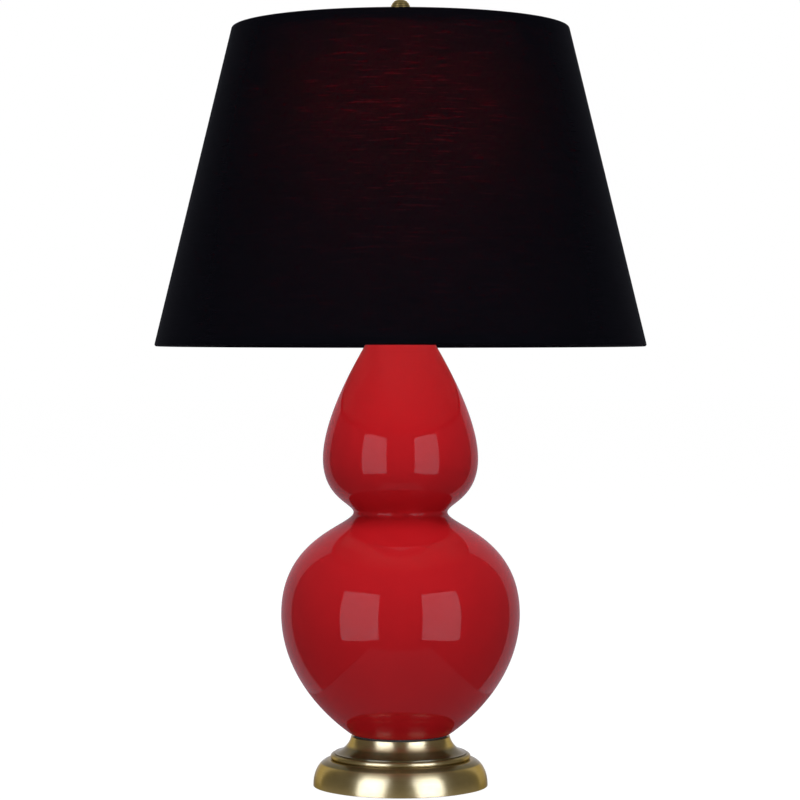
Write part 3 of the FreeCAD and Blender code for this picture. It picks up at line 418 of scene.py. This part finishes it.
def black_fabric():
    """Black slubbed cloth, through whose weave a little deep red light comes.

    Less comes where the cloth is seen aslant, and where it hangs far from the bulb's height.
    """
    s = Shader("black_fabric")
    across = s.noise(s.stretched(4 * MM, 0.35 * MM), detail=1.0)
    upright = s.noise(s.stretched(0.35 * MM, 5 * MM), detail=1.0)
    slubs = s.noise(s.stretched(25 * MM, 1.8 * MM), detail=3.0)
    patches = s.noise(s.stretched(30 * MM, 12 * MM), detail=2.0)
    threads = s.maths("ADD", s.maths("MULTIPLY", across, 0.5), s.maths("MULTIPLY", upright, 0.5))
    weave = s.maths("ADD", s.maths("MULTIPLY", slubs, 0.6), s.maths("MULTIPLY", threads, 0.4))
    tone = s.spread(weave, 0.0, 1.0)
    cloth = s.principled(
        Base_Color=s.mixed(tone, rgb(0.0013, 0.0014, 0.0024), rgb(0.0032, 0.0031, 0.0052)),
        Roughness=0.85,
        Specular_IOR_Level=0.02,
        Normal=s.bump(weave, 0.25 * MM, 0.5),
    )
    through = s.add("ShaderNodeBsdfTransparent", {"Color": rgb(1.0, 0.05, 0.13)})
    thin = s.ramp(slubs, *THIN_SLUBS, *THIN_SHARES)
    thick = s.ramp(slubs, *THICK_SLUBS, *THICK_SHARES)
    open_share = s.maths("ADD", s.maths("ADD", thin, thick), s.spread(patches, *PATCH_SHARES))
    height = s.height()
    below = s.ramp(height, *BELOW_BULB, *BELOW_SHARES)
    above = s.ramp(height, *ABOVE_BULB, *ABOVE_SHARES)
    near_bulb = s.maths("MULTIPLY", below, above)
    aslant = s.add("ShaderNodeLayerWeight", {"Blend": 0.5}).outputs["Facing"]
    facing = s.maths("POWER", s.maths("SUBTRACT", 1.0, aslant), ASLANT_POWER)
    share = s.maths("MULTIPLY", s.maths("MULTIPLY", open_share, near_bulb), facing)
    return s.done(s.blend(share, cloth, through))


def white_liner():
    """White translucent sheet behind the fabric: it scatters most light and lets some on forwards."""
    s = Shader("white_liner")
    grain = s.noise(s.stretched(0.8 * MM, 0.8 * MM), detail=2.0)
    sheet = s.principled(
        Base_Color=s.mixed(s.spread(grain, 0.0, 1.0), rgb(0.82, 0.81, 0.78), rgb(0.76, 0.75, 0.72)),
        Roughness=0.45,
        Normal=s.bump(grain, 0.03 * MM, 0.5),
    )
    through = s.add("ShaderNodeBsdfTranslucent", {"Color": rgb(0.9, 0.89, 0.86)})
    return s.done(s.blend(LINER_THROUGH, sheet, through))


def white_wire():
    s = Shader("white_wire")
    grain = s.noise(s.stretched(1.5 * MM, 1.5 * MM))
    return s.done(
        s.principled(
            Base_Color=s.mixed(grain, rgb(0.80, 0.79, 0.76), rgb(0.70, 0.69, 0.66)),
            Roughness=0.4,
            Normal=s.bump(grain, 0.05 * MM, 0.4),
        )
    )


def frosted_glass():
    """The lit, frosted envelope of the bulb, which lights the shade more brightly than the camera sees."""
    s = Shader("frosted_glass")
    grain = s.noise(s.stretched(0.5 * MM, 0.5 * MM))
    low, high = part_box("bulb_glass")
    height, middle = s.height(), high.z - GLASS_RADIUS
    lit = s.ramp(height, low.z, middle, *BULB_LIT)
    shown = s.ramp(height, low.z, middle, *BULB_SHOWN)
    seen = s.add("ShaderNodeLightPath").outputs["Is Camera Ray"]
    glow = s.maths("ADD", lit, s.maths("MULTIPLY", seen, s.maths("SUBTRACT", shown, lit)))
    return s.done(
        s.principled(
            Base_Color=s.mixed(grain, rgb(0.95, 0.94, 0.91), rgb(0.88, 0.87, 0.84)),
            Roughness=0.35,
            Emission_Color=rgb(1.0, 0.95, 0.88),
            Emission_Strength=glow,
        )
    )


def black_glass():
    s = Shader("black_glass")
    grain = s.noise(s.stretched(1 * MM, 1 * MM))
    tint = s.mixed(grain, rgb(0.012, 0.012, 0.014), rgb(0.03, 0.028, 0.03))
    return s.done(s.principled(Base_Color=tint, Roughness=0.12))


def felt():
    s = Shader("felt")
    fibres = s.noise(s.stretched(0.5 * MM, 0.5 * MM), detail=4.0, roughness=0.7)
    return s.done(
        s.principled(
            Base_Color=s.mixed(fibres, rgb(0.012, 0.012, 0.013), rgb(0.05, 0.05, 0.052)),
            Roughness=0.95,
            Sheen_Weight=0.3,
            Normal=s.bump(fibres, 0.3 * MM, 0.8),
        )
    )


def board():
    s = Shader("board")
    fibres = s.noise(s.stretched(1.2 * MM, 1.2 * MM), detail=5.0, roughness=0.7)
    return s.done(
        s.principled(
            Base_Color=s.mixed(fibres, rgb(0.22, 0.16, 0.10), rgb(0.42, 0.34, 0.24)),
            Roughness=0.8,
            Normal=s.bump(fibres, 0.1 * MM, 0.5),
        )
    )


def iron():
    s = Shader("iron")
    cast = s.noise(s.stretched(1.5 * MM, 1.5 * MM), detail=4.0)
    return s.done(
        s.principled(
            Base_Color=s.mixed(cast, rgb(0.03, 0.03, 0.032), rgb(0.09, 0.085, 0.08)),
            Roughness=s.spread(cast, 0.5, 0.75),
            Metallic=0.3,
            Normal=s.bump(cast, 0.3 * MM, 0.7),
        )
    )


def moulded(name, dark, light, rough):
    """A plain moulded plastic or rubber with a fine grain."""
    s = Shader(name)
    grain = s.noise(s.stretched(0.6 * MM, 0.6 * MM), detail=2.0)
    return s.done(
        s.principled(
            Base_Color=s.mixed(grain, dark, light),
            Roughness=s.spread(grain, *rough),
            Normal=s.bump(grain, 0.03 * MM, 0.5),
        )
    )


MATERIALS = {
    "antique_brass": antique_brass(),
    "contact_brass": contact_brass(),
    "bulb_aluminium": bulb_aluminium(),
    "zinc_steel": zinc_steel(),
    "red_glaze": red_glaze(),
    "black_fabric": black_fabric(),
    "white_liner": white_liner(),
    "white_wire": white_wire(),
    "frosted_glass": frosted_glass(),
    "black_glass": black_glass(),
    "felt": felt(),
    "board": board(),
    "iron": iron(),
    "black_plastic": moulded("black_plastic", grey(0.012), grey(0.025), (0.3, 0.45)),
    "gasket_rubber": moulded("gasket_rubber", rgb(0.008, 0.007, 0.006), rgb(0.02, 0.018, 0.016), (0.6, 0.8)),
}


def finish_nodes():
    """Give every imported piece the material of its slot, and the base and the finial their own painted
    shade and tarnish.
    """
    for part in frame["record"]["subparts"]:
        for slot in frame["nodes"][part["node"]].material_slots:
            slot.material = MATERIALS[part["material_slot"]]
    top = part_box("finial")[1].z
    # painted shade and tarnish: dark lines where the finial's turned grooves lie
    grooves = [(top - depth, GROOVE_REACH) for depth in FINIAL_GROOVES]
    # painted shade and tarnish in the base's cove and under its bead, where the brass mirrors dark
    # surroundings
    base_brass = antique_brass("base_brass", (COVE_RECESS, BEAD_RECESS))
    frame["nodes"]["base_shell"].material_slots[0].material = base_brass
    frame["nodes"]["finial"].material_slots[0].material = antique_brass("finial_brass", grooves)


def place(piece, body, slot, *nodes):
    """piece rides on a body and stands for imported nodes."""
    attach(piece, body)
    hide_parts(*nodes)
    return piece


# Gourd


def bend_handle(across, bend):
    """The handle that gives a cubic curve, upright at this end, its radius of curvature there."""
    return math.sqrt(2 / 3 * across * bend)


def gourd_side(foot_z, lip_z, inset):
    """The gourd's side from its foot to the straight of its lip, moved inwards by inset."""
    foot_run, foot_rise = lean(FOOT_LEAN, FOOT_HANDLE)
    neck_run, neck_rise = lean(NECK_LEAN, NECK_BELOW)
    next_run, next_rise = lean(NECK_LEAN, NECK_ABOVE)
    start_run, start_rise = lean(FOOT_LEAN, FOOT_ROUND)
    across, up = math.cos(math.radians(FOOT_LEAN)), math.sin(math.radians(FOOT_LEAN))
    foot = (FOOT_RADIUS + start_run - inset * across, foot_z + start_rise + inset * up)
    belly = (BELLY_RADIUS - inset, foot_z + BELLY_HEIGHT)
    waist = (WAIST_RADIUS - inset, foot_z + WAIST_HEIGHT)
    bulb = (BULB_RADIUS - inset, foot_z + BULB_HEIGHT)
    neck = (NECK_RADIUS - inset / math.cos(math.radians(NECK_LEAN)), foot_z + NECK_HEIGHT)
    lip = (LIP_RADIUS - inset, lip_z - LIP_ROUND)
    round_belly, round_bulb, round_waist = BELLY_BEND - inset, BULB_BEND - inset, WAIST_BEND + inset
    below_belly = bend_handle(belly[0] - foot[0] - foot_run, round_belly)
    above_belly = bend_handle(belly[0] - waist[0], round_belly)
    below_waist = bend_handle(belly[0] - waist[0], round_waist)
    above_waist = bend_handle(bulb[0] - waist[0], round_waist)
    below_bulb = bend_handle(bulb[0] - waist[0], round_bulb)
    above_bulb = bend_handle(bulb[0] - neck[0] - neck_run, round_bulb)
    points = [foot]
    points += cubic(foot, (foot_run, foot_rise), (0, -below_belly), belly, 2 * CURVE_STEPS)
    points += cubic(belly, (0, above_belly), (0, -below_waist), waist, 2 * CURVE_STEPS)
    points += cubic(waist, (0, above_waist), (0, -below_bulb), bulb, 2 * CURVE_STEPS)
    points += cubic(bulb, (0, above_bulb), (neck_run, -neck_rise), neck, 2 * CURVE_STEPS)
    points += cubic(neck, (-next_run, next_rise), (0, -LIP_BELOW), lip)
    return points


def gourd():
    low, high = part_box("gourd_body")
    foot_z, lip_z = low.z, high.z
    run, rise = lean(FOOT_LEAN, FOOT_ROUND)
    bend = FOOT_ROUND * QUARTER
    out, back = lean(FOOT_LEAN, bend)
    edge = (FOOT_RADIUS + run, foot_z + rise)
    section = [(FOOT_HOLE, foot_z), (FOOT_RADIUS - FOOT_ROUND, foot_z)]
    section += cubic(section[-1], (bend, 0), (-out, -back), edge, EDGE_STEPS)
    section += gourd_side(foot_z, lip_z, 0)[1:]
    section += quarter(section[-1], (LIP_RADIUS - LIP_ROUND, lip_z), EDGE_STEPS)
    section.append((LIP_RADIUS - GOURD_WALL, lip_z))
    inside = gourd_side(foot_z, lip_z, GOURD_WALL)
    section += inside[::-1]
    section.append((FOOT_HOLE, inside[0][1]))
    return place(turned("gourd", section, MATERIALS["red_glaze"]), "root", "red_glaze", "gourd_body")


# Shade


class Wall:
    """The shade's slanting wall: places by depth under its surface and distance along it from one edge."""

    def __init__(self, low, high):
        self.low, self.high = low, high
        self.slope = math.atan((SHADE_BOTTOM_RADIUS - SHADE_TOP_RADIUS) / (high - low))
        self.roll = FABRIC + LAYER_GAP + RING_WIRE

    def rim(self, upper):
        """The centre of an edge's ring, and the unit directions outwards and in from that edge."""
        height = self.high - self.roll if upper else self.low + self.roll
        touch = height + self.roll * math.sin(self.slope)
        share = (touch - self.low) / (self.high - self.low)
        radius = SHADE_BOTTOM_RADIUS + (SHADE_TOP_RADIUS - SHADE_BOTTOM_RADIUS) * share
        out = np.array((math.cos(self.slope), math.sin(self.slope)))
        along = np.array((-math.sin(self.slope), math.cos(self.slope))) * (-1 if upper else 1)
        return np.array((radius - self.roll * math.cos(self.slope), height)), out, along

    def at(self, upper, depth, run):
        centre, out, along = self.rim(upper)
        return tuple(centre + out * (self.roll - depth) + along * run)

    def around(self, upper, radius, start, end):
        """Points round an edge's ring, by the angle from straight out towards beyond the edge."""
        centre, out, along = self.rim(upper)
        angles = np.linspace(start, end, RING_STEPS + 1)
        return [tuple(centre + radius * (out * math.cos(a) - along * math.sin(a))) for a in angles]


low_shade, high_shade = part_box("shade_fabric")
WALL = Wall(low_shade.z, high_shade.z)


def rolled_edge(upper):
    """The fabric's section at one edge, from its outside round the ring and in to the hem's end."""
    roll, hem_in = WALL.roll, HEM_OUT + FABRIC
    outer = WALL.around(upper, roll, 0, math.pi)
    outer += [WALL.at(upper, 2 * roll, RING_WIRE), WALL.at(upper, hem_in, 2 * roll)]
    outer.append(WALL.at(upper, hem_in, HEM_LENGTH))
    inner = [WALL.at(upper, HEM_OUT, HEM_LENGTH), WALL.at(upper, HEM_OUT, 2 * roll)]
    pocket = RING_WIRE + LAYER_GAP
    inner.append(WALL.at(upper, roll + pocket, RING_WIRE))
    inner += WALL.around(upper, pocket, math.pi, 0)
    inner.append(WALL.at(upper, FABRIC, RING_WIRE))
    return outer, inner


def fabric():
    low_out, low_in = rolled_edge(False)
    high_out, high_in = rolled_edge(True)
    section = even_run(low_out[0], high_out[0], CLOTH_PITCH)[:-1]
    count = len(section)
    section += high_out + high_in
    section += even_run(high_in[-1], low_in[-1], CLOTH_PITCH)[:-1]
    section += low_in[::-1] + low_out[::-1]

    def seam(angle, number):
        """The overlap down the back, where the outer layer steps up and runs out again."""
        if number >= count:
            return 0
        across = (angle - math.pi / 2) * section[number][0]
        if not 0 <= across <= SEAM_WIDTH:
            return 0
        return SEAM_STEP * (1 - across / SEAM_WIDTH)

    made = turned("shade_cloth", section, MATERIALS["black_fabric"], SHADE_STEPS, seam)
    return place(made, "shade", "black_fabric", "shade_fabric")


def liner():
    start, outside = RING_WIRE + LAYER_GAP, FABRIC + LAYER_GAP
    inside = outside + LINER
    corners = [
        WALL.at(False, outside, start),
        WALL.at(True, outside, start),
        WALL.at(True, inside, start),
        WALL.at(False, inside, start),
    ]
    made = turned("shade_backing", corners, MATERIALS["white_liner"], SHADE_STEPS)
    return place(made, "shade", "white_liner", "shade_liner")


# Light bulb


def glass():
    low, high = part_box("bulb_glass")
    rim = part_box("bulb_cap")[1].z
    centre = high.z - GLASS_RADIUS
    ease = (centre - rim) * GLASS_EASE
    section = [(GLASS_NECK, low.z), (GLASS_NECK, rim), (GLASS_SHOULDER, rim + GLASS_RISE)]
    section += cubic(section[-1], (0, ease), (0, -ease), (GLASS_RADIUS, centre))
    section += quarter(section[-1], (0, high.z))
    section.append((0, low.z))
    made = turned("bulb_envelope", section, MATERIALS["frosted_glass"], GLASS_STEPS)
    return place(made, "bulb", "frosted_glass", "bulb_glass")


# Studio


def floor_material():
    """White to the eye but for the lamp's faint shadow, grey to what it lights, and clear from below.

    Gloss sees a pale table under the lamp, and past its edges the lights and the world.
    """
    s = Shader("floor")
    rays = s.add("ShaderNodeLightPath").outputs
    plain = s.add("ShaderNodeBsdfDiffuse", {"Color": grey(FLOOR_LIT)})
    shadowed = s.add("ShaderNodeBsdfDiffuse", {"Color": grey(FLOOR_SHADOW)})
    glow = s.add("ShaderNodeEmission", {"Color": grey(1), "Strength": FLOOR_GLOW})
    seen = s.add("ShaderNodeAddShader", {0: shadowed.outputs[0], 1: glow.outputs[0]})
    split = s.add("ShaderNodeSeparateXYZ", {0: s.places}).outputs
    aside = s.maths("LESS_THAN", s.maths("ABSOLUTE", split["X"]), TABLE_HALF)
    ahead = s.maths("LESS_THAN", s.maths("ABSOLUTE", split["Y"]), TABLE_DEPTH)
    table = s.add("ShaderNodeEmission", {"Color": COOL, "Strength": GLOSS_TABLE})
    clear = s.add("ShaderNodeBsdfTransparent", {"Color": grey(1)})
    mirrored = s.blend(s.maths("MULTIPLY", aside, ahead), clear, table)
    lit = s.blend(rays["Is Glossy Ray"], plain, mirrored)
    straight = s.maths("MAXIMUM", rays["Is Camera Ray"], rays["Is Transmission Ray"])
    below = s.add("ShaderNodeNewGeometry").outputs["Backfacing"]
    return s.done(s.blend(below, s.blend(straight, lit, seen), clear))


def floor():
    half = FLOOR_SIZE / 2
    corners = [(-half, -half, 0), (half, -half, 0), (half, half, 0), (-half, half, 0)]
    made = new_object("studio_floor", corners, [[0, 1, 2, 3]], floor_material())
    return made


def studio_world():
    """White to the eye, plain to what it lights, and in gloss bright behind the lamp and dim before it."""
    s = Shader("studio", "worlds", "ShaderNodeOutputWorld")
    split = s.add("ShaderNodeSeparateXYZ", {0: s.add("ShaderNodeTexCoord").outputs["Generated"]}).outputs
    turn = s.maths("ABSOLUTE", s.maths("ARCTAN2", split["X"], split["Y"]))  # from straight behind
    near, far = (math.radians(angle) for angle in SIDE_ANGLES)
    front = s.ramp(turn, near, far, GLOSS_ASIDE, GLOSS_AHEAD)
    edge, fade = math.radians(BACKDROP_ANGLE), math.radians(BACKDROP_FADE)
    behind = s.ramp(turn, edge, edge + fade, 1.0, 0.0)
    gloss = s.maths("ADD", front, s.maths("MULTIPLY", behind, s.maths("SUBTRACT", GLOSS_BEHIND, front)))
    rays = s.add("ShaderNodeLightPath").outputs
    straight = s.maths("MAXIMUM", rays["Is Camera Ray"], rays["Is Transmission Ray"])
    mirrored = s.maths("MULTIPLY", rays["Is Glossy Ray"], s.maths("SUBTRACT", gloss, AMBIENT))
    dim = s.maths("ADD", mirrored, AMBIENT)
    level = s.maths("ADD", dim, s.maths("MULTIPLY", straight, s.maths("SUBTRACT", 1.0, dim)))
    tint = s.mixed(rays["Is Glossy Ray"], grey(1), COOL)
    bpy.context.scene.world = s.done(s.add("ShaderNodeBackground", {"Color": tint, "Strength": level}))


def area_light(name, azimuth, place, radiance, gloss_tint=None):
    """A flat light that faces the lamp's middle, at an azimuth in degrees from its front.

    place is (elevation, distance, (width, height)). With a tint the light only shows in gloss, and
    without one it only lights the rest.
    """
    elevation, distance, size = place
    turn, rise = math.radians(azimuth), math.radians(elevation)
    light = bpy.data.lights.new(name, "AREA")
    light.shape = "RECTANGLE"
    light.size, light.size_y = size
    light.energy = radiance * math.pi * light.size * light.size_y
    made = bpy.data.objects.new(name, light)
    level = distance * math.cos(rise)
    middle = (cad_box[0].z + cad_box[1].z) / 2
    made.location = (level * math.sin(turn), -level * math.cos(turn), middle + distance * math.sin(rise))
    made.rotation_euler = (math.pi / 2 - rise, 0, turn)
    made.visible_camera = made.visible_transmission = False
    made.visible_glossy, made.visible_diffuse = bool(gloss_tint), not gloss_tint
    if gloss_tint:
        light.color = gloss_tint[:3]
    bpy.context.scene.collection.objects.link(made)
    return made


def link_light(light, kind, pieces, left_out=True):
    """Leave pieces out of what blocks or receives a light, or keep it to those pieces."""
    group = bpy.data.collections.new(light.name + "_" + kind)
    for piece in pieces:
        group.objects.link(piece)
    setattr(light.light_linking, kind + "_collection", group)
    if left_out:
        for entry in group.collection_objects:
            entry.light_linking.link_state = "EXCLUDE"


def lights(cloth, inside, ground, vase, base):
    """A softbox on each side, a light from behind and a key from above.

    Each softbox is three lights: one that shows in the glaze, one that lights, and a cooler, brighter one
    that only the base's brass mirrors. The floor blocks none of them. The last two lights pass by the
    inside of the shade, and the key isn't held back by the shade.
    """
    for side, azimuth in (("left", -SIDE_AZIMUTH), ("right", SIDE_AZIMUTH)):
        shown = area_light("softbox_" + side, azimuth, SOFTBOX_PLACE, SOFTBOX_GLOSS, COOL)
        link_light(shown, "blocker", [ground])
        link_light(shown, "receiver", [base])
        fill = area_light("fill_" + side, azimuth, SOFTBOX_PLACE, SOFTBOX_FILL)
        link_light(fill, "blocker", [ground])
        brass = area_light("base_" + side, azimuth, BASE_PLACE, BASE_GLOSS, BASE_TINT)
        link_light(brass, "blocker", [ground, vase])
        link_light(brass, "receiver", [base], left_out=False)
    back = area_light("back", BACK_AZIMUTH, BACK_PLACE, BACK_FILL)
    link_light(back, "receiver", inside)
    key = area_light("key", KEY_AZIMUTH, KEY_PLACE, KEY_FILL)
    link_light(key, "blocker", [cloth, *inside])
    link_light(key, "receiver", inside)


def camera():
    data = bpy.data.cameras.new("camera")
    data.lens, data.sensor_width = CAMERA_LENS, CAMERA_SENSOR
    data.clip_end = 2 * FLOOR_SIZE
    made = bpy.data.objects.new("camera", data)
    made.location = CAMERA_PLACE
    made.rotation_euler = (math.radians(90 - CAMERA_DROP), 0, 0)
    bpy.context.scene.collection.objects.link(made)
    bpy.context.scene.camera = made


finish_nodes()
vase = gourd()
cloth, backing = fabric(), liner()
glass()
ground = floor()
studio_world()
rings = [frame["nodes"][name] for name in ("shade_bottom_ring", "shade_top_ring")]
lights(cloth, [backing, *rings], ground, vase, frame["nodes"]["base_shell"])
camera()
bpy.context.scene.view_settings.view_transform = "Standard"
